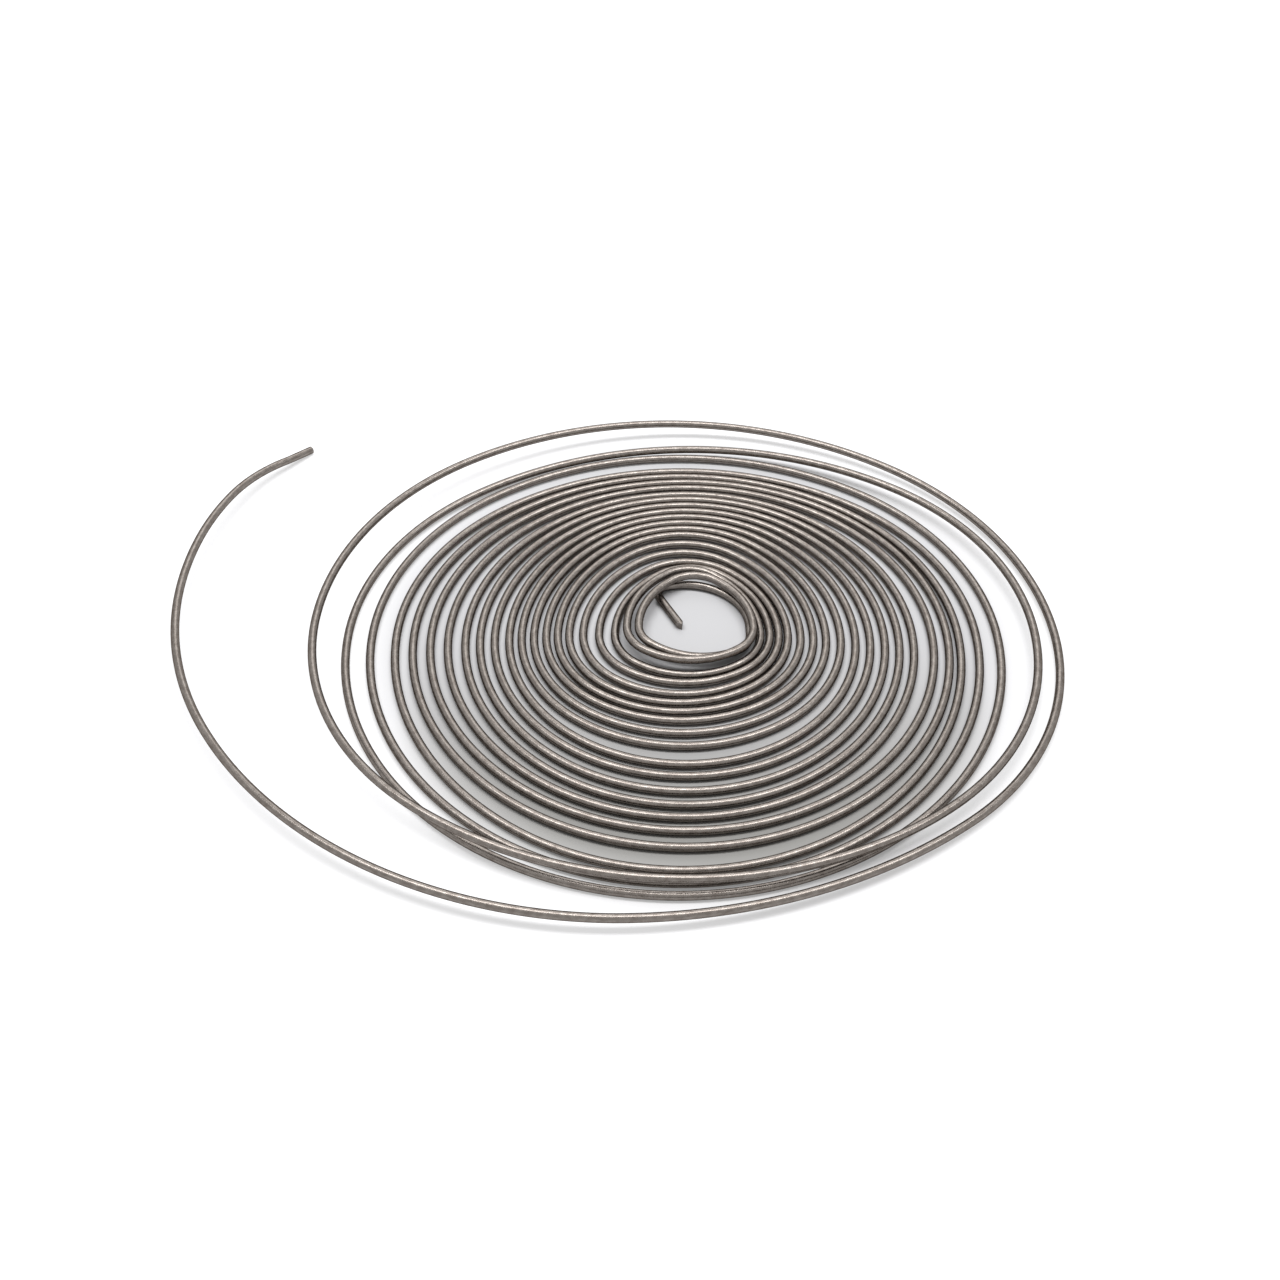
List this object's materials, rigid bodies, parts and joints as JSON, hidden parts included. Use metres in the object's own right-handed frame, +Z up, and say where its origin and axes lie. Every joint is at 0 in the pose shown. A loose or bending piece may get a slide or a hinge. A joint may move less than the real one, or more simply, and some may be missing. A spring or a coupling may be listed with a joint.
{
  "type": "coil of resistance wire",
  "caption": "Loose flat spiral of bare round resistance wire, with a hooked inner end in the open bore and a loose outer tail.",
  "frame": {"origin": "on the surface that the coil lies on, midway along the line across which its turns are widest, 3 mm in front of the bore's middle", "axes": "+Z up, square to the coil; +X right along that line; the outer tail leaves at -X and runs towards +Y"},
  "size_m": [0.1594, 0.1252, 0.0053],
  "materials": {
    "wire": "drawn and annealed nickel-chrome, satin grey with a faint brown oxide"
  },
  "bodies": {
    "root": {"wire": "wire"}
  },
  "joints": []
}
